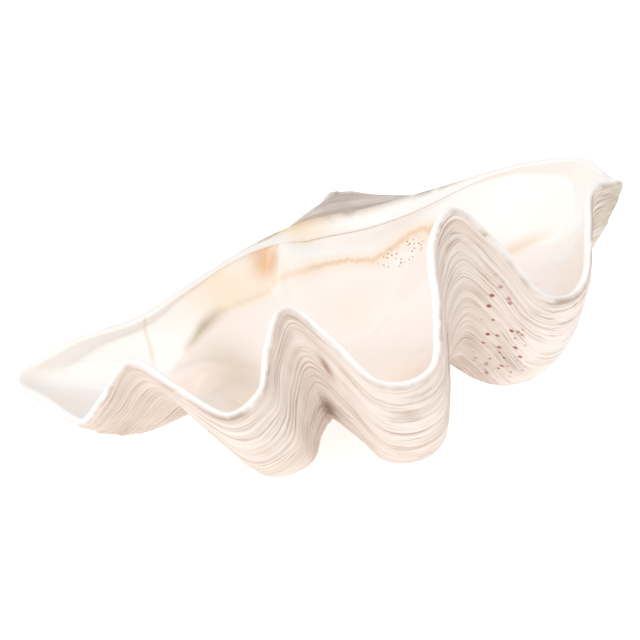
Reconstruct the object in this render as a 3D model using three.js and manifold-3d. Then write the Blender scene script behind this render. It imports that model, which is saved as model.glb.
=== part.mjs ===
import * as THREE from 'three';
import Module from 'manifold-3d';

// One valve of a giant clam, in mm, lying hollow side up on its ribs, +Z up.
// The growing edge is one closed wavy curve. Every older edge is the same curve,
// smaller and turned further round the beak, so the stack of edges is the shell.

// the growing edge, from the left tip round the front to the right tip, then back along the hinge side
const EDGE_POINTS = [
  [-300, 0, 0], [-290, -56, 2], [-266, -97, -13], [-244, -115, 10],
  [-216, -129, 39], [-191, -151, 15], [-156, -179, -14], [-122, -189, 4], [-106, -186, 40],
  [-87, -184, 65], [-64, -198, 36], [-36, -216, -10], [-7, -222, -20], [20, -221, -12],
  [37, -210, 30], [50, -195, 86],
  [72, -186, 103], [98, -190, 68], [129, -196, 8], [161, -186, -10], [187, -169, -4], [206, -148, 28],
  [221, -129, 53], [255, -100, 42], [282, -46, 18], [288, -4, 10],
  [280, 32, 22], [232, 61, 27], [150, 90, 20], [80, 113, 14], [20, 121, 18],
  [-40, 106, 18], [-120, 74, 11], [-172, 53, 6], [-240, 34, 12], [-290, 18, 5],
];
const CREST_POINTS = [4, 9, 16, 22];   // places in EDGE_POINTS of the four upward folds
const RIB_SWELL = [0.3, 0.1, 0];       // how much the ribs between those folds swell below the edge
const OLD_RIB_SWELL = [0.4, 0, 0];     // the same on the older half of the shell
const SUNK_CREST = 9;                  // the second upward fold was lower when the shell was younger
const CREST_SINK = 26;                 // by this many mm, all of it on the outside

const BEAK = [60, 134, 29];            // the oldest point of the shell, that the edges turn round
const TURN = [190, -234, 224];         // degrees of turn for growth lost, its square and its cube
const BEAK_CURL = 28;                  // degrees more for its sixth power: the last curl of the beak
const BEAK_WEAR = 0.9;                 // share of the folds worn away at the beak
const END_SLOWING = 0.35;              // the two ends turn this much less than the middle
const DRIFT = 13;                      // mm that the growth swings towards the high tip and back
const HALF_REACH = 345;                // mm from the beak to the far tip

const IRONING = 0.25;                  // how far in size the outside is smoothed along the hinge
const LIP_THICKNESS = 8;
const BODY_THICKNESS = 20;
const HINGE_LIP = 20;
const HINGE_FLATNESS = 0.7;            // how much flatter the rounded edge is along the hinge
const HINGE_THICKNESS = 28;
const END_THICKNESS = 6;               // the body near the two tips
const FOLD_FILL = 0.75;                // share of each rib hollow filled in by the inner layer
const YOUNGEST_OUTSIDE = 0.03;         // size of the smallest edge on the outside
const YOUNGEST_INSIDE = 0.74;          // size of the smallest edge inside, on the front side
const HINGE_INSIDE = 0.992;            // the same on the hinge side
const CAVITY_END = [10, 12, -77];      // the middle of the bowl's floor
const FLOOR_TILT = 0.18;               // the floor climbs towards the hinge by this slope
const BOWL_POWER = 1.7;                // how quickly the walls of the bowl drop to the floor
const SHELF_SPREAD = 1.15;             // how quickly the shelf under the hinge drops to the floor
const FLOOR_RIDGE = [-125, 2, 20];     // middle and height of the first fold's ridge across the floor
const RIDGE_REACH = [42, 32];
const BEAK_RIB_TOP = [-11, 98];        // the short rib that runs down from under the beak
const BEAK_RIB_RUN = [-0.57, -0.82];
const BEAK_RIB_HEIGHT = 7;
const BEAK_RIB_WIDTH = 8;
const BEAK_RIB_LENGTH = 45;
const POCKET = [-38, 86, 6];           // middle and depth of the pocket beside that rib
const POCKET_REACH = [15, 14];
const CALMING = 3;                     // places on each side that the floor's folds are averaged over

const REST_ROLL = 10.98;               // degrees the right end sits higher than the left
const REST_PITCH = -13.03;             // degrees about the long axis: the hinge side sits low
const WEAR = 1.5;                      // mm worn off where the shell stands

const COLUMNS_PER_POINT = 4;
const OUTSIDE_ROWS = 16;
const LIP_ROWS = 2;
const INSIDE_ROWS = 7;
const CAVITY_ROWS = 6;

const edge = new THREE.CatmullRomCurve3(EDGE_POINTS.map((point) => new THREE.Vector3(...point)), true);
const pointCount = EDGE_POINTS.length;
const beak = new THREE.Vector3(...BEAK);
const cavityEnd = new THREE.Vector3(...CAVITY_END);

function smooth(value) {
  const clamped = Math.min(Math.max(value, 0), 1);
  return clamped * clamped * (3 - 2 * clamped);
}

// the straight line from fold to fold above the ribs; away from the ribs it is the edge itself
function foldLine(place) {
  for (let rib = 0; rib + 1 < CREST_POINTS.length; rib += 1) {
    const first = CREST_POINTS[rib];
    const second = CREST_POINTS[rib + 1];
    if (place > first && place < second) {
      const start = edge.getPoint(first / pointCount);
      const end = edge.getPoint(second / pointCount);
      const point = start.lerp(end, (place - first) / (second - first));
      return { point, young: RIB_SWELL[rib], old: OLD_RIB_SWELL[rib] };
    }
  }
  return { point: edge.getPoint(place / pointCount), young: 0, old: 0 };
}

// a point of the edge of an earlier size; fill above 0 raises the rib hollows
function grown(place, size, fill) {
  const wrapped = (place + pointCount) % pointCount;
  const margin = edge.getPoint(wrapped / pointCount);
  const line = foldLine(wrapped);
  const sinking = Math.exp(-(((wrapped - SUNK_CREST) / 1.5) ** 2)) * smooth((0.97 - size) / 0.2);
  margin.z -= CREST_SINK * (1 - fill) * sinking;
  const age = smooth((0.9 - size) / 0.35);
  const swell = line.young * smooth((1 - size) / 0.12) * (1 - age) + line.old * age;
  const wornOut = BEAK_WEAR * smooth((0.3 - size) / 0.3);
  const share = (fill * FOLD_FILL * smooth((1 - size) / 0.38) - swell) * (1 - wornOut) + wornOut;
  const arm = margin.lerp(line.point, share).sub(beak);
  const lost = 1 - size;
  const slowing = 1 - END_SLOWING * (arm.x / HALF_REACH) ** 2;
  const degrees = TURN[0] * lost + TURN[1] * lost ** 2 + TURN[2] * lost ** 3 + BEAK_CURL * lost ** 6;
  const turn = THREE.MathUtils.degToRad(slowing * degrees);
  arm.applyAxisAngle(new THREE.Vector3(1, 0, 0), turn);
  arm.x += DRIFT * Math.sin(Math.PI * lost);
  return arm.multiplyScalar(size).add(beak);
}

// unit directions at a point: along the edge, out of the shell and along the growth
function directions(place, size, fill) {
  const along = grown(place + 0.05, size, fill).sub(grown(place - 0.05, size, fill)).normalize();
  const growth = grown(place, size + 0.004, fill).sub(grown(place, size - 0.004, fill));
  const outward = new THREE.Vector3().crossVectors(along, growth).normalize();
  const onward = new THREE.Vector3().crossVectors(outward, along).normalize();
  return { outward, onward };
}

function thickness(place, size) {
  const margin = edge.getPoint(((place + pointCount) % pointCount) / pointCount);
  const hinge = smooth((margin.y + 20) / 120);
  const middle = 1 - smooth((Math.abs(margin.x - BEAK[0]) - 120) / 200);
  const plate = 1 - smooth((Math.abs(margin.x - BEAK[0]) - 60) / 80);
  const lip = LIP_THICKNESS + (HINGE_LIP - LIP_THICKNESS) * hinge * plate;
  const body = BODY_THICKNESS + (HINGE_THICKNESS - BODY_THICKNESS) * hinge;
  const share = smooth((1 - size) / 0.35);
  return lip * (1 - share) + (END_THICKNESS + (body - END_THICKNESS) * middle) * share;
}

function insidePoint(place, size) {
  const { outward } = directions(place, size, 1);
  return grown(place, size, 1).addScaledVector(outward, -thickness(place, size));
}

// how small the inside edge gets before the cavity closes
function insideEnd(place) {
  const margin = edge.getPoint(place / pointCount);
  return YOUNGEST_INSIDE + (HINGE_INSIDE - YOUNGEST_INSIDE) * smooth((margin.y + 100) / 190);
}

// the rounded edge: angle 0 is the outside, 180 degrees the inside
function lipPoint(place, angle) {
  const { outward, onward } = directions(place, 1, 0);
  const half = thickness(place, 1) / 2;
  const margin = edge.getPoint(place / pointCount);
  const hinge = smooth((margin.y + 20) / 120);
  const rise = (LIP_THICKNESS / 2) * (1 - HINGE_FLATNESS * hinge);
  return grown(place, 1, 0)
    .addScaledVector(outward, half * (Math.cos(angle) - 1))
    .addScaledVector(onward, rise * Math.sin(angle));
}

function floorHeight(point) {
  return cavityEnd.z + FLOOR_TILT * (point.y - cavityEnd.y);
}

function hump(point, [x, y], [reachX, reachY]) {
  return Math.exp(-(((point.x - x) / reachX) ** 2) - ((point.y - y) / reachY) ** 2);
}

function beakRib(point) {
  const x = point.x - BEAK_RIB_TOP[0];
  const y = point.y - BEAK_RIB_TOP[1];
  const along = x * BEAK_RIB_RUN[0] + y * BEAK_RIB_RUN[1];
  const across = y * BEAK_RIB_RUN[0] - x * BEAK_RIB_RUN[1];
  return BEAK_RIB_HEIGHT * Math.exp(-((across / BEAK_RIB_WIDTH) ** 2)) * smooth(1.4 - along / BEAK_RIB_LENGTH);
}

// a point on the way from the last inside row to the middle of the floor, losing height as it goes
function cavityPoint(place, start, share) {
  const margin = edge.getPoint(place / pointCount);
  const hinge = smooth((margin.y - 10) / 70);
  const right = smooth((margin.x + 70) / 60) * (1 - smooth((margin.x - 150) / 80));
  const bowl = (1 - share) ** BOWL_POWER;
  const shelf = 1 - smooth(share * SHELF_SPREAD);
  const kept = bowl + (shelf - bowl) * hinge * right;
  const point = start.clone().lerp(cavityEnd, share);
  const fold = FLOOR_RIDGE[2] * hump(point, FLOOR_RIDGE, RIDGE_REACH);
  const relief = beakRib(point) - POCKET[2] * hump(point, POCKET, POCKET_REACH);
  point.z = floorHeight(point) + (start.z - floorHeight(start)) * kept;
  point.z += fold * smooth(share / 0.2) + relief * smooth(share / 0.06);
  return point;
}

// the row with its folds averaged out
function calmed(row) {
  const reach = Math.round((CALMING * row.length) / pointCount);
  return row.map((unused, column) => {
    const sum = new THREE.Vector3();
    for (let shift = -reach; shift <= reach; shift += 1) {
      sum.add(row[(column + shift + row.length) % row.length]);
    }
    return sum.divideScalar(2 * reach + 1);
  });
}

// the outside rows with the folds that growth leaves behind the hinge smoothed away
function ironed(rows, places) {
  const hinge = places.map((place) => smooth((edge.getPoint(place / pointCount).y - 20) / 50));
  const passes = Math.round(1.5 * (IRONING * (rows.length - 1)) ** 2);
  let smoothed = rows;
  for (let pass = 0; pass < passes; pass += 1) {
    const before = smoothed;
    smoothed = before.map((row, index) => {
      if (index === 0 || index === before.length - 1) {
        return row;
      }
      return row.map((point, column) => {
        const middle = point.clone().add(before[index - 1][column]).add(before[index + 1][column]);
        return point.clone().lerp(middle.divideScalar(3), hinge[column]);
      });
    });
  }
  return smoothed;
}

function shellRows(columns) {
  const places = Array.from({ length: columns }, (unused, column) => (column * pointCount) / columns);
  const outside = [];
  for (let row = 0; row < OUTSIDE_ROWS; row += 1) {
    const size = YOUNGEST_OUTSIDE + (1 - YOUNGEST_OUTSIDE) * (row / (OUTSIDE_ROWS - 1)) ** 0.9;
    outside.push(places.map((place) => grown(place, size, 0)));
  }
  const rows = ironed(outside, places);
  for (let row = 1; row <= LIP_ROWS; row += 1) {
    const angle = (Math.PI * row) / (LIP_ROWS + 1);
    rows.push(places.map((place) => lipPoint(place, angle)));
  }
  for (let row = 0; row < INSIDE_ROWS; row += 1) {
    const share = row / (INSIDE_ROWS - 1);
    rows.push(places.map((place) => insidePoint(place, 1 - (1 - insideEnd(place)) * share)));
  }
  const lastRow = rows[rows.length - 1];
  const calmRow = calmed(lastRow);
  for (let row = 1; row <= CAVITY_ROWS; row += 1) {
    const share = row / (CAVITY_ROWS + 1);
    const calming = smooth(share / 0.5);
    const starts = lastRow.map((point, column) => point.clone().lerp(calmRow[column], calming));
    rows.push(starts.map((start, column) => cavityPoint(places[column], start, share)));
  }
  return rows;
}

// close the stack of rows with a point at each end, facing out
function closedBody(rows) {
  const columns = rows[0].length;
  const points = [beak.clone(), ...rows.flat(), cavityEnd.clone()];
  const last = points.length - 1;
  const triangles = [];
  for (let column = 0; column < columns; column += 1) {
    const next = (column + 1) % columns;
    triangles.push(0, 1 + next, 1 + column);
    for (let row = 0; row + 1 < rows.length; row += 1) {
      const here = 1 + row * columns;
      const above = here + columns;
      triangles.push(here + column, above + next, above + column);
      triangles.push(here + column, here + next, above + next);
    }
    const top = 1 + (rows.length - 1) * columns;
    triangles.push(top + column, top + next, last);
  }
  return { points, triangles };
}

function restPoints(points) {
  const roll = new THREE.Matrix4().makeRotationY(THREE.MathUtils.degToRad(-REST_ROLL));
  const pitch = new THREE.Matrix4().makeRotationX(THREE.MathUtils.degToRad(REST_PITCH));
  points.forEach((point) => point.applyMatrix4(roll).applyMatrix4(pitch));
  const box = new THREE.Box3().setFromPoints(points);
  const centre = box.getCenter(new THREE.Vector3());
  points.forEach((point) => point.sub(new THREE.Vector3(centre.x, centre.y, box.min.z + WEAR)));
  return points;
}

const manifoldModule = await Module();
manifoldModule.setup();

const body = closedBody(shellRows(COLUMNS_PER_POINT * pointCount));
restPoints(body.points);
const whole = new manifoldModule.Manifold(new manifoldModule.Mesh({
  numProp: 3,
  vertProperties: new Float32Array(body.points.flatMap((point) => point.toArray())),
  triVerts: new Uint32Array(body.triangles),
}));
const worn = whole.trimByPlane([0, 0, 1], 0).getMesh();

const geometry = new THREE.BufferGeometry();
geometry.setAttribute('position', new THREE.BufferAttribute(new Float32Array(worn.vertProperties), 3));
geometry.setIndex(new THREE.BufferAttribute(new Uint32Array(worn.triVerts), 1));
geometry.computeVertexNormals();

const shellMaterial = new THREE.MeshStandardMaterial({ color: 0xf3ebe2, roughness: 0.55, metalness: 0 });
shellMaterial.name = 'shell';
const valve = new THREE.Mesh(geometry, shellMaterial);
valve.name = 'clam_valve';

const part = new THREE.Group();
part.name = 'giant_clam_shell';
part.add(valve);

export default part;
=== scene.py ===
import math

import bpy
import numpy as np
from mathutils import Matrix, Vector


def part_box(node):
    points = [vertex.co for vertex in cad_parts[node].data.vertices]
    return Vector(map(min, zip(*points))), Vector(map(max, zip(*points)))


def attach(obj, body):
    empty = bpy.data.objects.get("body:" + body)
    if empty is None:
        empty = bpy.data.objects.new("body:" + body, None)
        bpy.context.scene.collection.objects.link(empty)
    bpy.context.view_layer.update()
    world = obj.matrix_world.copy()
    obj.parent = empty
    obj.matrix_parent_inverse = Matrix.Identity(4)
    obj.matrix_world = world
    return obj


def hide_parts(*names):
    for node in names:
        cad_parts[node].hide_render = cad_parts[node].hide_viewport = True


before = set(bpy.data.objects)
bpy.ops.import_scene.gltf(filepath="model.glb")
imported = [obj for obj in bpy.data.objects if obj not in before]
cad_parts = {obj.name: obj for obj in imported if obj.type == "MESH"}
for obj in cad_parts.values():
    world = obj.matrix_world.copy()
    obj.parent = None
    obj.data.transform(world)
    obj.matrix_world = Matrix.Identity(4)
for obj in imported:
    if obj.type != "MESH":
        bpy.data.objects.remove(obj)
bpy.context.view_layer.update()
SHELL_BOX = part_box("clam_valve")
MM = 0.001

# One valve of a giant clam. Its growing edge is one closed wavy curve. Every older edge is the same
# curve, smaller and turned further round the beak, so the stack of edges is the shell.
# A place counts the points of the edge, and a size is 1 at the edge and 0 at the beak.

# The growing edge in mm, from the left tip round the front to the right tip, then back along the hinge.
EDGE_POINTS = np.array([
    (-300, 0, 0), (-290, -56, 2), (-266, -97, -13), (-244, -115, 10),
    (-216, -129, 39), (-191, -151, 15), (-156, -179, -14), (-122, -189, 4), (-106, -186, 40),
    (-87, -184, 65), (-64, -198, 36), (-36, -216, -10), (-7, -222, -20), (20, -221, -12),
    (37, -210, 30), (50, -195, 86),
    (72, -186, 103), (98, -190, 68), (129, -196, 8), (161, -186, -10), (187, -169, -4), (206, -148, 28),
    (221, -129, 53), (255, -100, 42), (282, -46, 18), (288, -4, 10),
    (280, 32, 22), (232, 61, 27), (150, 90, 20), (80, 113, 14), (20, 121, 18),
    (-40, 106, 18), (-120, 74, 11), (-172, 53, 6), (-240, 34, 12), (-290, 18, 5),
], float)
POINTS = len(EDGE_POINTS)
CREST_POINTS = (4, 9, 16, 22)  # the places of the four upward folds
RIB_SWELL = (0.3, 0.1, 0.0)  # how much the ribs between those folds swell below the edge
OLD_RIB_SWELL = (0.4, 0.0, 0.0)  # the same on the older half of the shell
SUNK_CREST = 9  # the second upward fold was lower when the shell was younger
SUNK_WIDTH = 1.5
CREST_SINK = 26.0  # by this many mm, all of it on the outside

BEAK = np.array([60.0, 134.0, 29.0])  # the oldest point, that the edges turn round
TURN = (190.0, -234.0, 224.0)  # degrees of turn for growth lost, its square and its cube
BEAK_CURL = 28.0  # degrees more for its sixth power: the last curl of the beak
BEAK_WEAR = 0.9  # share of the folds worn away at the beak
END_SLOWING = 0.35  # the two ends turn this much less than the middle
DRIFT = 13.0  # mm that the growth swings towards the high tip and back
HALF_REACH = 345.0  # mm from the beak to the far tip
IRONING = 0.25  # how far in size the outside is smoothed along the hinge

LIP_THICKNESS = 8.0
BODY_THICKNESS = 20.0
HINGE_LIP = 20.0
HINGE_FLATNESS = 0.7  # how much flatter the rounded edge is along the hinge
HINGE_THICKNESS = 28.0
END_THICKNESS = 6.0  # the body near the two tips
FOLD_FILL = 0.75  # share of each rib hollow filled in by the inner layer
YOUNGEST_OUTSIDE = 0.03  # size of the smallest edge on the outside
YOUNGEST_INSIDE = 0.74  # size of the smallest edge inside, on the front side
HINGE_INSIDE = 0.992  # the same on the hinge side
CAVITY_END = np.array([10.0, 12.0, -77.0])  # the middle of the bowl's floor
FLOOR_TILT = 0.18  # the floor climbs towards the hinge by this slope
BOWL_POWER = 1.7  # how quickly the walls of the bowl drop to the floor
SHELF_SPREAD = 1.15  # how quickly the shelf under the hinge drops to the floor
FLOOR_RIDGE = np.array([-125.0, 2.0, 20.0])  # middle and height of the first fold's ridge
RIDGE_REACH = np.array([42.0, 32.0])
BEAK_RIB_TOP = np.array([-11.0, 98.0])  # the short rib that runs down from under the beak
BEAK_RIB_RUN = np.array([-0.57, -0.82])
BEAK_RIB_HEIGHT = 7.0
BEAK_RIB_WIDTH = 8.0
BEAK_RIB_LENGTH = 45.0
POCKET = np.array([-38.0, 86.0, 6.0])  # middle and depth of the pocket beside that rib
POCKET_REACH = np.array([15.0, 14.0])
CALMING = 3.0  # places on each side that the floor's folds are averaged over

REST_ROLL = 10.98  # degrees the right end sits higher than the left
REST_PITCH = -13.03  # degrees about the long axis: the hinge side sits low
WEAR = 1.5  # mm worn off where the shell stands

# Growth halts on the outside: how many, how deep in mm, and how far each wanders.
GROWTH_HALTS = ((21, 1.1, 0.35), (57, 0.6, 0.5))

# The pallial line on the inside, as mm along the shell and mm towards the hinge.
PALLIAL_LINE = np.array([
    (-215, 5), (-150, 15), (-135, 30), (-103, 61), (-83, 73), (-57, 80), (-20, 91), (5, 92), (29, 99),
    (49, 96), (74, 86), (88, 88), (110, 91), (130, 88), (189, 63), (206, 40), (227, 40), (260, 20),
])
OLIVE_SHADE_MIDDLE = (-0.106, 0.061, 0.104)  # metres, the middle of the olive painted shade where the line is dark

# Soft stains, painted shade and painted light: sRGB colour, strength, middle and reach. Outside, in
# places and sizes.
GROOVE_SHADE_DEPTHS = (0.5, 0.38, 0.15, 0.1)  # how strongly painted shade darkens each fold's groove
OUTSIDE_STAINS_SHADE_AND_LIGHT = (
    ((112, 66, 48), 0.95, (9.15, 0.845), (0.3, 0.035)),  # painted shade at the bottom of the second groove, red-brown
    ((150, 98, 76), 0.8, (9.7, 0.955), (0.16, 0.012)),  # painted shade higher up in the same groove
    ((198, 172, 148), 0.7, (2.0, 0.93), (1.3, 0.05)),  # under the left end
    ((226, 208, 196), 0.5, (17.4, 0.84), (0.9, 0.12)),  # where the fourth rib is crusted
    ((170, 164, 130), 0.8, (23.4, 0.965), (0.9, 0.04)),  # olive at the right end
    ((246, 238, 232), 0.75, (18.8, 0.84), (2.2, 0.16)),  # painted light making the fourth rib paler
)
# The same inside, in mm along the shell and mm towards the hinge.
TROUGH_STAINS_SHADE_AND_LIGHT = (
    # painted shade: tan on the shaded wall and floor of the second trough
    ((228, 211, 192), 0.85, (-92, 0), (34, 48)),
    ((254, 234, 216), 0.5, (45, -60), (50, 50)),
    ((240, 226, 220), 0.9, (-146, 40), (24, 26)),
    # painted light: a shaded trough on the right lightened to near white
    ((255, 250, 248), 0.8, (195, -60), (34, 30)),
)
UPPER_STAINS_AND_SHADE = (
    # painted shade: light orange on the wall left of the beak
    ((250, 228, 200), 0.75, (-75, 92), (48, 26)),
    ((246, 226, 208), 0.4, (110, 108), (45, 14)),
)
HINGE_STAINS_SHADE_AND_LIGHT = (
    ((236, 190, 140), 0.95, (-27, 110), (15, 14)),  # the orange pocket, painted shade in its hollow
    ((250, 214, 160), 0.8, (0, 134), (22, 9)),
    ((255, 253, 250), 0.8, (-9, 106), (6, 20)),  # painted light on the top of the white ridge beside it
    ((232, 196, 160), 0.5, (207, 46), (26, 5)),
)
RIM_STAIN = (((246, 216, 170), 0.75, (4, 145), (36, 13)),)

COLUMNS_PER_POINT = 15
OUTSIDE_ROWS = 104
LIP_ROWS = 8
INSIDE_ROWS = 36
CAVITY_ROWS = 32

VIEW_AZIMUTH = -19.53
VIEW_ELEVATION = 32.85
VIEW_DISTANCE = 2.1
VIEW_LENS = 127.5
VIEW_ROLL = 2.53
VIEW_TARGET = Vector((-0.0025, 0.0179, 0.1165))

# Soft lights: name, place and width in metres, and watts. All face LIGHT_AIM.
LIGHTS = (
    ("key", (-1.6, -1.4, 2.4), 1.6, 36),
    ("fill", (2.0, -1.0, 1.6), 2.0, 9),
    ("top", (0.0, 0.3, 2.6), 2.0, 9),
)
LIGHT_AIM = (0, 0, 0.1)
WORLD_GLOW = 0.55
FLOOR_GLOW = 0.6
FLOOR_REACH = 6.0


def smooth(value):
    clamped = np.clip(value, 0.0, 1.0)
    return clamped * clamped * (3.0 - 2.0 * clamped)


def edge(place):
    """A point of the closed edge: a centripetal Catmull-Rom curve through EDGE_POINTS."""
    wrapped = np.mod(place, POINTS)
    first = np.floor(wrapped).astype(int) % POINTS
    share = (wrapped - np.floor(wrapped))[..., None]
    before, start, end, after = (EDGE_POINTS[(first + step) % POINTS] for step in (-1, 0, 1, 2))
    span_before = (((start - before) ** 2).sum(-1) ** 0.25)[..., None]
    span = (((end - start) ** 2).sum(-1) ** 0.25)[..., None]
    span_after = (((after - end) ** 2).sum(-1) ** 0.25)[..., None]
    slope_start = span * ((start - before) / span_before - (end - before) / (span_before + span)
                          + (end - start) / span)
    slope_end = span * ((end - start) / span - (after - start) / (span + span_after)
                        + (after - end) / span_after)
    square = -3 * start + 3 * end - 2 * slope_start - slope_end
    cube = 2 * start - 2 * end + slope_start + slope_end
    return start + slope_start * share + square * share ** 2 + cube * share ** 3


def hinge_share(place):
    """1 along the hinge side of the edge, 0 round the front."""
    return smooth((edge(place)[..., 1] + 20) / 120)


def fold_line(place):
    """The straight line from fold to fold over each rib, and how much the rib swells."""
    wrapped = np.mod(place, POINTS)
    line = edge(wrapped)
    young = np.zeros(wrapped.shape)
    old = np.zeros(wrapped.shape)
    for rib, (first, last) in enumerate(zip(CREST_POINTS[:-1], CREST_POINTS[1:])):
        within = (wrapped > first) & (wrapped < last)
        share = ((wrapped - first) / (last - first))[..., None]
        chord = EDGE_POINTS[first] * (1 - share) + EDGE_POINTS[last] * share
        line = np.where(within[..., None], chord, line)
        young = np.where(within, RIB_SWELL[rib], young)
        old = np.where(within, OLD_RIB_SWELL[rib], old)
    return line, young, old


def grown(place, size, fill):
    """A point of the edge when the shell was smaller by the factor size."""
    place, size = np.broadcast_arrays(np.asarray(place, float), np.asarray(size, float))
    margin = edge(place)
    line, young, old = fold_line(place)
    beside = (np.mod(place, POINTS) - SUNK_CREST) / SUNK_WIDTH
    sinking = np.exp(-beside ** 2) * smooth((0.97 - size) / 0.2)
    margin[..., 2] -= CREST_SINK * (1 - fill) * sinking
    age = smooth((0.9 - size) / 0.35)
    swell = young * smooth((1 - size) / 0.12) * (1 - age) + old * age
    worn_out = BEAK_WEAR * smooth((0.3 - size) / 0.3)
    share = (fill * FOLD_FILL * smooth((1 - size) / 0.38) - swell) * (1 - worn_out) + worn_out
    arm = margin + (line - margin) * share[..., None] - BEAK
    lost = 1 - size
    slowing = 1 - END_SLOWING * (arm[..., 0] / HALF_REACH) ** 2
    degrees = TURN[0] * lost + TURN[1] * lost ** 2 + TURN[2] * lost ** 3 + BEAK_CURL * lost ** 6
    turn = np.radians(slowing * degrees)
    turned = np.stack([
        arm[..., 0],
        arm[..., 1] * np.cos(turn) - arm[..., 2] * np.sin(turn),
        arm[..., 1] * np.sin(turn) + arm[..., 2] * np.cos(turn),
    ], -1)
    turned[..., 0] += DRIFT * np.sin(math.pi * lost)
    return BEAK + size[..., None] * turned


def unit(vectors):
    return vectors / np.linalg.norm(vectors, axis=-1, keepdims=True)


def directions(place, size, fill):
    """Unit directions at a point: out of the shell, and onward along the growth."""
    along = unit(grown(place + 0.05, size, fill) - grown(place - 0.05, size, fill))
    growth = grown(place, size + 0.004, fill) - grown(place, size - 0.004, fill)
    outward = unit(np.cross(along, growth))
    return outward, unit(np.cross(outward, along))


def thickness(place, size):
    """The wall in mm: thin at the lip and the two tips, thick in the body and at the hinge plate."""
    hinge = hinge_share(place)
    off_beak = np.abs(edge(place)[..., 0] - BEAK[0])
    middle = 1 - smooth((off_beak - 120) / 200)
    plate = 1 - smooth((off_beak - 60) / 80)
    lip = LIP_THICKNESS + (HINGE_LIP - LIP_THICKNESS) * hinge * plate
    body = BODY_THICKNESS + (HINGE_THICKNESS - BODY_THICKNESS) * hinge
    share = smooth((1 - size) / 0.35)
    return lip * (1 - share) + (END_THICKNESS + (body - END_THICKNESS) * middle) * share


def growth_steps(place, size):
    """How far in mm the outside stands out at each halt in growth, where one layer ends on the next."""
    around = 2 * math.pi * place / POINTS
    height = 0.0
    for count, depth, wander in GROWTH_HALTS:
        step = size * count + wander * np.sin(3 * around + count) + 0.2 * np.sin(11 * around)
        halt = np.floor(step)
        unevenness = 0.55 + 0.45 * np.sin(12.9 * halt + 1.7 * np.sin(5 * around + halt))
        height = height + depth * unevenness * ((step - halt) ** 2 - 0.5)
    ends = smooth((1 - size) / 0.012) * smooth(size / 0.25)
    return height * ends * (1 - 0.85 * hinge_share(place))


def inside_point(place, size):
    """The inside of the wall, a thickness in from the edge with its rib hollows part filled."""
    outward, _ = directions(place, size, 1.0)
    return grown(place, size, 1.0) - outward * thickness(place, size)[..., None]


def inside_end(place):
    """How small the inside edge gets before the cavity closes."""
    return YOUNGEST_INSIDE + (HINGE_INSIDE - YOUNGEST_INSIDE) * smooth((edge(place)[..., 1] + 100) / 190)


def floor_height(point):
    return CAVITY_END[2] + FLOOR_TILT * (point[..., 1] - CAVITY_END[1])


def floor_relief(points):
    """Height in mm of the first fold's ridge, the rib under the beak and the pocket beside it."""
    x, y = points[:, 0], points[:, 1]
    off_fold = (((points[:, :2] - FLOOR_RIDGE[:2]) / RIDGE_REACH) ** 2).sum(-1)
    along = (points[:, :2] - BEAK_RIB_TOP) @ BEAK_RIB_RUN
    across = (points[:, :2] - BEAK_RIB_TOP) @ np.array([-BEAK_RIB_RUN[1], BEAK_RIB_RUN[0]])
    fading = smooth(1.4 - along / BEAK_RIB_LENGTH)
    rib = BEAK_RIB_HEIGHT * np.exp(-(across / BEAK_RIB_WIDTH) ** 2) * fading
    off_pocket = (((points[:, :2] - POCKET[:2]) / POCKET_REACH) ** 2).sum(-1)
    return FLOOR_RIDGE[2] * np.exp(-off_fold), rib - POCKET[2] * np.exp(-off_pocket)


def cavity_rows(places, last):
    """Rows from the last inside row to the flat of the bowl, losing height and folds on the way."""
    reach = round(CALMING * len(places) / POINTS)
    calm = sum(np.roll(last, shift, 0) for shift in range(-reach, reach + 1)) / (2 * reach + 1)
    margin = edge(places)
    hinge = smooth((margin[:, 1] - 10) / 70)
    right = smooth((margin[:, 0] + 70) / 60) * (1 - smooth((margin[:, 0] - 150) / 80))
    rows = []
    for row in range(1, CAVITY_ROWS + 1):
        share = row / (CAVITY_ROWS + 1)
        start = last + (calm - last) * smooth(share / 0.5)
        bowl = (1 - share) ** BOWL_POWER
        shelf = 1 - smooth(share * SHELF_SPREAD)
        kept = bowl + (shelf - bowl) * hinge * right
        point = start * (1 - share) + CAVITY_END * share
        fold, relief = floor_relief(point)
        point[:, 2] = floor_height(point) + (start[:, 2] - floor_height(start)) * kept
        point[:, 2] += fold * smooth(share / 0.2) + relief * smooth(share / 0.06)
        rows.append(point)
    return rows


def ironed(rows, places):
    """The outside rows with the folds that growth leaves behind the hinge smoothed away."""
    hinge = smooth((edge(places)[:, 1] - 20) / 50)[:, None]
    grid = np.array(rows)
    for _ in range(round(1.5 * (IRONING * (len(rows) - 1)) ** 2)):
        middle = (grid[:-2] + grid[1:-1] + grid[2:]) / 3
        grid[1:-1] += (middle - grid[1:-1]) * hinge
    return list(grid)


def shell_rows(places):
    """Rows of points from the beak over the outside, the lip and the inside to the cavity's end."""
    rows = []
    ages = []
    for row in range(OUTSIDE_ROWS):
        size = 1 - (1 - YOUNGEST_OUTSIDE) * (1 - row / (OUTSIDE_ROWS - 1)) ** 1.6
        steps = growth_steps(places, size)
        rows.append(grown(places, size, 0.0) + directions(places, size, 0.0)[0] * steps[:, None])
        ages.append((0.0, size))
    rows = ironed(rows, places)
    outward, onward = directions(places, 1.0, 0.0)
    half = thickness(places, 1.0) / 2
    rise = LIP_THICKNESS / 2 * (1 - HINGE_FLATNESS * hinge_share(places))
    margin = grown(places, 1.0, 0.0)
    for row in range(1, LIP_ROWS + 1):
        angle = math.pi * row / (LIP_ROWS + 1)
        rows.append(margin + outward * (half * (math.cos(angle) - 1))[:, None]
                    + onward * (rise * math.sin(angle))[:, None])
        ages.append((row / (LIP_ROWS + 1), 1.0))
    for row in range(INSIDE_ROWS):
        size = 1 - (1 - inside_end(places)) * (row / (INSIDE_ROWS - 1))
        rows.append(inside_point(places, size))
        ages.append((1.0, size))
    cavity = cavity_rows(places, rows[-1])
    rows += cavity
    ages += [(1.0, ages[-1][1])] * len(cavity)
    return rows, ages


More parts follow.
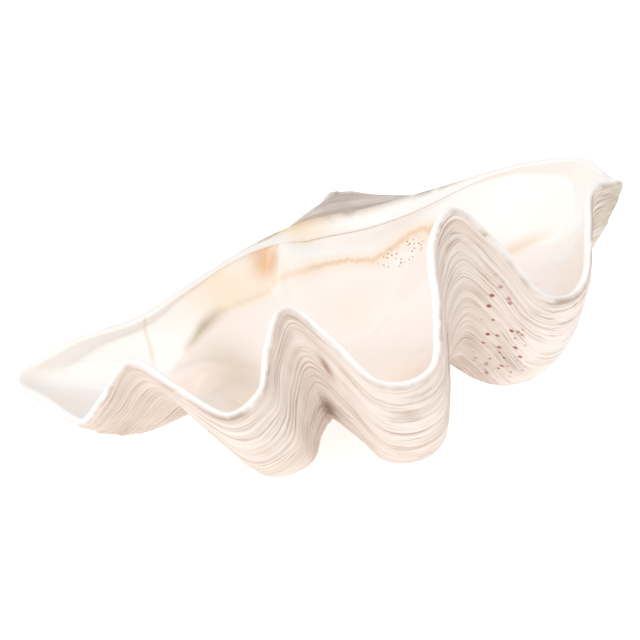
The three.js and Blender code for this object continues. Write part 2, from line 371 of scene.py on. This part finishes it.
def rest_pose(points):
    """Turn the points to how the shell lies, and set them in the CAD's box."""
    roll = Matrix.Rotation(math.radians(-REST_ROLL), 3, "Y")
    pitch = Matrix.Rotation(math.radians(REST_PITCH), 3, "X")
    turned = points @ np.array(pitch @ roll).T * MM
    low, high = turned.min(0), turned.max(0)
    box_low, box_high = np.array(SHELL_BOX[0]), np.array(SHELL_BOX[1])
    floor_low = np.array([box_low[0], box_low[1], box_low[2] - WEAR * MM])
    scale = np.minimum(1.0, (box_high - floor_low) / (high - low))
    middle = (low + high) / 2
    target = (floor_low + box_high) / 2
    placed = (turned - middle) * scale + target
    placed[:, 2] = np.maximum(placed[:, 2], box_low[2])
    return placed


def linear(red, green, blue):
    """A colour given in sRGB steps of 255, as linear light."""
    share = np.array([red, green, blue]) / 255
    return np.where(share <= 0.04045, share / 12.92, ((share + 0.055) / 1.055) ** 2.4)


def spot(x, y, centre_x, centre_y, reach_x, reach_y):
    """1 at the centre of a soft oval spot, falling to 0 round it."""
    return np.exp(-((x - centre_x) / reach_x) ** 2 - ((y - centre_y) / reach_y) ** 2)


def blend(colour, other, share):
    return colour + (other - colour) * np.clip(share, 0, 1)[:, None]


# Mixes in soft spots of colour: some are stains, others painted shade and painted light.
def stained_and_shaded(colour, first, second, stains_and_shading):
    for tone, strength, middle, reach in stains_and_shading:
        colour = blend(colour, linear(*tone), strength * spot(first, second, *middle, *reach))
    return colour


def outside_tint(y, size, around):
    tint = np.repeat(linear(229, 216, 207)[None], len(y), 0)
    tint = blend(tint, linear(216, 200, 188), 0.6 * smooth((0.93 - size) / 0.25))
    # painted shade darkening each fold's groove
    groove_shading = [((214, 194, 176), depth, (crest, 0.8), (0.9, 0.16))
               for crest, depth in zip(CREST_POINTS, GROOVE_SHADE_DEPTHS)]
    tint = stained_and_shaded(tint, around, size, groove_shading)
    tint = stained_and_shaded(tint, around, size, OUTSIDE_STAINS_SHADE_AND_LIGHT)
    # painted light: the beak lies in shade, so its colour is lightened towards white
    beak = smooth((0.9 - size) / 0.2) * smooth((y - 120) / 25)
    return blend(tint, linear(252, 244, 236), beak)


def inside_tint(x, y, pallial):
    lower = np.repeat(linear(254, 243, 236)[None], len(x), 0)
    lower = stained_and_shaded(lower, x, y, TROUGH_STAINS_SHADE_AND_LIGHT)
    lower = blend(lower, linear(250, 245, 243), smooth((-170 - x) / 30))
    lower = blend(lower, linear(252, 247, 243), smooth((x - 190) / 40) * 0.7)
    upper = np.repeat(linear(254, 251, 247)[None], len(x), 0)
    upper = stained_and_shaded(upper, x, y, UPPER_STAINS_AND_SHADE)
    tint = lower + (upper - lower) * smooth(pallial / 6 + 0.5)[:, None]
    return stained_and_shaded(tint, x, y, HINGE_STAINS_SHADE_AND_LIGHT)


def shell_colours(points, inside, size, around):
    """The broad colours at points in mm, how far each lies over the pallial line, and the crust."""
    x, y = points[:, 0], points[:, 1]
    pallial = y - np.interp(x, PALLIAL_LINE[:, 0], PALLIAL_LINE[:, 1])
    colour = blend(outside_tint(y, size, around), linear(255, 251, 248), smooth((inside - 0.1) / 0.35))
    colour = blend(colour, inside_tint(x, y, pallial), smooth((inside - 0.55) / 0.45))
    colour = stained_and_shaded(colour, x, y, RIM_STAIN)
    crust = spot(around, size, 17.2, 0.86, 0.75, 0.11) * (inside < 0.05)
    crust = crust + spot(x, y, 98, 80, 26, 9) * (inside > 0.9)
    return colour, pallial, crust


def closed_faces(rows, columns):
    """Faces that join each row of points to the next, and a point at each end that closes the stack."""
    column = range(columns)
    after = [(here + 1) % columns for here in column]
    faces = [(0, 1 + b, 1 + a) for a, b in zip(column, after)]
    for row in range(rows - 1):
        here = 1 + row * columns
        above = here + columns
        faces += [(here + a, here + b, above + b, above + a) for a, b in zip(column, after)]
    top = 1 + (rows - 1) * columns
    end = top + columns
    faces += [(top + a, top + b, end) for a, b in zip(column, after)]
    return faces


def make_valve():
    places = np.arange(0, POINTS, 1 / COLUMNS_PER_POINT)
    rows, ages = shell_rows(places)
    columns = len(places)
    points = rest_pose(np.vstack([BEAK[None], np.concatenate(rows), CAVITY_END[None]]))
    faces = closed_faces(len(rows), columns)
    mesh = bpy.data.meshes.new("valve")
    mesh.from_pydata(points.tolist(), [], faces)
    mesh.polygons.foreach_set("use_smooth", np.ones(len(faces), bool))

    # what the material reads at each point
    inside = np.concatenate([[0.0], np.repeat([age[0] for age in ages], columns), [1.0]])
    sizes = [np.broadcast_to(age[1], columns) for age in ages]
    size = np.concatenate([[0.0], *sizes, [YOUNGEST_INSIDE]])
    around = np.concatenate([[0.0], np.tile(places, len(rows)), [0.0]])
    colour, pallial, crust = shell_colours(points / MM, inside, size, around)
    measures = {"inside": inside, "size": size, "pallial": pallial, "crust": crust}
    for name, values in measures.items():
        layer = mesh.attributes.new(name, "FLOAT", "POINT")
        layer.data.foreach_set("value", values.astype(np.float32))
    layer = mesh.attributes.new("tint", "FLOAT_COLOR", "POINT")
    opaque = np.column_stack([colour, np.ones(len(colour))])
    layer.data.foreach_set("color", opaque.astype(np.float32).ravel())
    mesh.validate()
    mesh.update()
    valve = bpy.data.objects.new("valve", mesh)
    bpy.context.collection.objects.link(valve)
    return valve


class Nodes:
    """Adds and links a material's nodes: an input is a number, a vector or another node's output."""

    def __init__(self, material):
        self.tree = material.node_tree

    def add(self, kind, inputs=(), output=0, **settings):
        node = self.tree.nodes.new(kind)
        for name, value in settings.items():
            setattr(node, name, value)
        for name, value in dict(inputs).items():
            socket = node.inputs[name]
            if isinstance(value, bpy.types.NodeSocket):
                self.tree.links.new(value, socket)
            else:
                socket.default_value = value
        return node.outputs[output]

    def math(self, operation, first, second=0.0, third=0.0):
        inputs = {0: first, 1: second, 2: third}
        return self.add("ShaderNodeMath", inputs, operation=operation)

    def times(self, first, second):
        return self.math("MULTIPLY", first, second)

    def ramp(self, value, low, high, start=0.0, end=1.0):
        inputs = {"Value": value, "From Min": low, "From Max": high, "To Min": start, "To Max": end}
        return self.add("ShaderNodeMapRange", inputs, clamp=True)

    def mix(self, share, first, second):
        inputs = {0: share, 6: first, 7: second}
        return self.add("ShaderNodeMix", inputs, 2, data_type="RGBA")

    def stain_and_shade(self, share, colour, tone):
        """Mixes in a tone given in sRGB steps of 255: marks of the shell's own colour, and also the olive
        patch of painted shade.
        """
        return self.mix(share, colour, (*linear(*tone), 1))

    def attribute(self, name, output="Fac"):
        return self.add("ShaderNodeAttribute", output=output, attribute_name=name)

    def noise(self, vector, scale, detail=2.0, roughness=0.5):
        inputs = {"Vector": vector, "Scale": scale, "Detail": detail, "Roughness": roughness}
        return self.add("ShaderNodeTexNoise", inputs)


def growth_lines(nodes, place, size, wobble):
    """Fine and coarse noise that runs quickly with growth and slowly along the edge."""
    x = nodes.add("ShaderNodeSeparateXYZ", {0: place})
    y = x.node.outputs["Y"]
    z = x.node.outputs["Z"]
    growth = nodes.math("MULTIPLY_ADD", wobble, 4.5, nodes.times(size, 360.0))
    along = nodes.times(nodes.math("ADD", x, y), 16.0)
    fine_at = nodes.add("ShaderNodeCombineXYZ", {0: growth, 1: along, 2: nodes.times(z, 7.0)})
    coarse_at = nodes.add("ShaderNodeVectorMath", {0: fine_at, 1: (0.24, 0.5, 0.5)}, operation="MULTIPLY")
    return nodes.noise(fine_at, 1.0, 4.0, 0.62), nodes.noise(coarse_at, 1.0, 3.0, 0.6)


def outside_marks(nodes, colour, place, outside, fine, coarse):
    """Dark and pale growth lines, older bands and dusty blotches."""
    patchy = nodes.ramp(nodes.noise(place, 30.0, 2.0), 0.38, 0.62, 0.2, 0.75)
    dark_lines = nodes.times(nodes.ramp(fine, 0.52, 0.40), outside)
    colour = nodes.stain_and_shade(nodes.times(dark_lines, patchy), colour, (158, 132, 112))
    old_bands = nodes.times(nodes.ramp(coarse, 0.50, 0.36), outside)
    colour = nodes.stain_and_shade(nodes.times(old_bands, 0.28), colour, (196, 170, 148))
    pale_lines = nodes.times(nodes.ramp(fine, 0.56, 0.68), outside)
    colour = nodes.stain_and_shade(nodes.times(pale_lines, 0.45), colour, (255, 248, 240))
    dust = nodes.times(nodes.ramp(nodes.noise(place, 22.0, 4.0, 0.6), 0.56, 0.70), outside)
    return nodes.stain_and_shade(nodes.times(dust, 0.35), colour, (222, 204, 190))


def inside_marks(nodes, colour, place, hollow, wobble):
    """Warm clouds, the ragged orange pallial line, a thin seam at the left and an olive patch of painted
    shade.
    """
    x = nodes.add("ShaderNodeSeparateXYZ", {0: place})
    y = x.node.outputs["Y"]
    pallial = nodes.attribute("pallial")
    warm = nodes.times(nodes.ramp(nodes.noise(place, 9.0, 3.0), 0.5, 0.68), hollow)
    colour = nodes.stain_and_shade(nodes.times(warm, 0.35), colour, (250, 228, 210))

    # the line's ticks are longer on its right half, and it fades out at both ends
    tick_at = nodes.add("ShaderNodeCombineXYZ", {0: nodes.times(x, 420.0), 1: nodes.times(y, 18.0)})
    ticks = nodes.math("SUBTRACT", nodes.noise(tick_at, 1.0, 2.0), 0.5)
    ragging = nodes.ramp(x, -0.03, 0.03, 2.0, 9.0)
    off_line = nodes.math("ABSOLUTE", nodes.math("MULTIPLY_ADD", ticks, ragging, pallial))
    right_half = nodes.ramp(x, -0.01, 0.02, 0.4, 1.0)
    not_ends = nodes.ramp(nodes.math("ABSOLUTE", nodes.math("ADD", x, -0.01)), 0.15, 0.12)
    shown = nodes.times(right_half, not_ends)
    line = nodes.times(nodes.times(nodes.ramp(off_line, 4.2, 0.4), hollow), shown)
    glow = nodes.times(nodes.ramp(nodes.math("ABSOLUTE", pallial), 13.0, 0.0), hollow)
    glow = nodes.times(glow, shown)
    colour = nodes.stain_and_shade(nodes.times(glow, 0.6), colour, (248, 218, 184))
    colour = nodes.stain_and_shade(nodes.times(line, 0.5), colour, (226, 184, 138))

    off_seam = nodes.math("MULTIPLY_ADD", wobble, 0.008, nodes.math("ADD", x, 0.153))
    off_seam = nodes.math("ABSOLUTE", off_seam)
    past_seam = nodes.math("ABSOLUTE", nodes.math("SUBTRACT", y, 0.052))
    seam = nodes.times(nodes.ramp(off_seam, 0.003, 0.0005), nodes.ramp(past_seam, 0.026, 0.012))
    seam = nodes.times(nodes.times(seam, hollow), 0.3)
    colour = nodes.stain_and_shade(seam, colour, (228, 186, 146))

    # painted shade: the olive patch, darkest along the pallial line
    inputs = {0: place, 1: OLIVE_SHADE_MIDDLE}
    off_patch = nodes.add("ShaderNodeVectorMath", inputs, "Value", operation="DISTANCE")
    olive = nodes.times(nodes.ramp(off_patch, 0.036, 0.002), nodes.ramp(off_line, 9.0, 1.0))
    olive = nodes.times(olive, hollow)
    return nodes.stain_and_shade(nodes.times(olive, 0.6), colour, (150, 134, 100))


def crust_marks(nodes, colour, place, outside, hollow):
    """Small red crust animals on the fourth rib and a few pits inside, and the animals' height."""
    crust = nodes.attribute("crust")
    cells = nodes.add("ShaderNodeTexVoronoi", {"Vector": place, "Scale": 130.0})
    chosen = nodes.add("ShaderNodeSeparateColor", {0: cells.node.outputs["Color"]})
    bodies = nodes.times(nodes.ramp(cells, 0.34, 0.22), nodes.ramp(chosen, 0.42, 0.47))
    bodies = nodes.times(bodies, nodes.ramp(crust, 0.3, 0.5))
    colour = nodes.stain_and_shade(nodes.times(bodies, outside), colour, (168, 88, 84))
    holes = nodes.add("ShaderNodeTexVoronoi", {"Vector": place, "Scale": 260.0})
    pits = nodes.times(nodes.ramp(holes, 0.26, 0.16), nodes.ramp(crust, 0.35, 0.6))
    return nodes.stain_and_shade(nodes.times(pits, hollow), colour, (150, 112, 84)), bodies


def shell_material():
    """Growth-lined chalky outside, white lip and glossy inside, all from the mesh's own values."""
    material = bpy.data.materials.new("shell")
    material.use_nodes = True
    nodes = Nodes(material)
    shader = material.node_tree.nodes["Principled BSDF"]
    place = nodes.add("ShaderNodeTexCoord", output="Object")
    inside = nodes.attribute("inside")
    outside = nodes.ramp(inside, 0.1, 0.5, 1.0, 0.0)
    hollow = nodes.ramp(inside, 0.6, 1.0)
    wobble = nodes.noise(place, 20.0, 3.0)
    fine, coarse = growth_lines(nodes, place, nodes.attribute("size"), wobble)

    colour = outside_marks(nodes, nodes.attribute("tint", "Color"), place, outside, fine, coarse)
    colour = inside_marks(nodes, colour, place, hollow, wobble)
    colour, bodies = crust_marks(nodes, colour, place, outside, hollow)
    material.node_tree.links.new(colour, shader.inputs["Base Color"])

    rough = nodes.ramp(inside, 0.1, 0.7, 0.72, 0.3)
    material.node_tree.links.new(rough, shader.inputs["Roughness"])
    relief = nodes.times(nodes.math("MULTIPLY_ADD", coarse, 0.8, fine), outside)
    relief = nodes.math("MULTIPLY_ADD", nodes.noise(place, 420.0, 3.0, 0.6), 0.12, relief)
    relief = nodes.math("MULTIPLY_ADD", bodies, 0.5, relief)
    bump = nodes.add("ShaderNodeBump", {"Height": relief, "Strength": 0.7, "Distance": 0.0016})
    material.node_tree.links.new(bump, shader.inputs["Normal"])
    shader.inputs["Specular IOR Level"].default_value = 0.45
    return material


def plain_material(name, colour, roughness):
    material = bpy.data.materials.new(name)
    material.use_nodes = True
    shader = material.node_tree.nodes["Principled BSDF"]
    shader.inputs["Base Color"].default_value = (*colour, 1)
    shader.inputs["Roughness"].default_value = roughness
    return material


def floor_material():
    material = plain_material("floor", (0.92, 0.92, 0.92), 0.9)
    shader = material.node_tree.nodes["Principled BSDF"]
    shader.inputs["Emission Color"].default_value = (1, 1, 1, 1)
    shader.inputs["Emission Strength"].default_value = FLOOR_GLOW
    return material


valve = make_valve()
valve.data.materials.append(shell_material())
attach(valve, "root")
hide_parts("clam_valve")

floor_mesh = bpy.data.meshes.new("floor")
corners = [(x * FLOOR_REACH, y * FLOOR_REACH, 0) for x, y in ((-1, -1), (1, -1), (1, 1), (-1, 1))]
floor_mesh.from_pydata(corners, [], [(0, 1, 2, 3)])
floor = bpy.data.objects.new("floor", floor_mesh)
bpy.context.collection.objects.link(floor)
floor_mesh.materials.append(floor_material())


def add_camera():
    data = bpy.data.cameras.new("camera")
    data.lens = VIEW_LENS
    data.sensor_width = 36
    camera = bpy.data.objects.new("camera", data)
    bpy.context.collection.objects.link(camera)
    azimuth, elevation = math.radians(VIEW_AZIMUTH), math.radians(VIEW_ELEVATION)
    back = Vector((math.sin(azimuth) * math.cos(elevation), -math.cos(azimuth) * math.cos(elevation),
                   math.sin(elevation)))
    turn = back.to_track_quat("Z", "Y").to_matrix() @ Matrix.Rotation(math.radians(VIEW_ROLL), 3, "Z")
    camera.matrix_world = Matrix.Translation(VIEW_TARGET + VIEW_DISTANCE * back) @ turn.to_4x4()
    bpy.context.scene.camera = camera


def add_area(name, place, size, power):
    data = bpy.data.lights.new(name, "AREA")
    data.size = size
    data.energy = power
    light = bpy.data.objects.new(name, data)
    bpy.context.collection.objects.link(light)
    direction = Vector(place) - Vector(LIGHT_AIM)
    turn = direction.to_track_quat("Z", "Y").to_matrix()
    light.matrix_world = Matrix.Translation(place) @ turn.to_4x4()


add_camera()
for light in LIGHTS:
    add_area(*light)
world = bpy.data.worlds.new("studio")
bpy.context.scene.world = world
world.use_nodes = True
world.node_tree.nodes["Background"].inputs["Color"].default_value = (1, 1, 1, 1)
world.node_tree.nodes["Background"].inputs["Strength"].default_value = WORLD_GLOW
bpy.context.scene.view_settings.view_transform = "Standard"
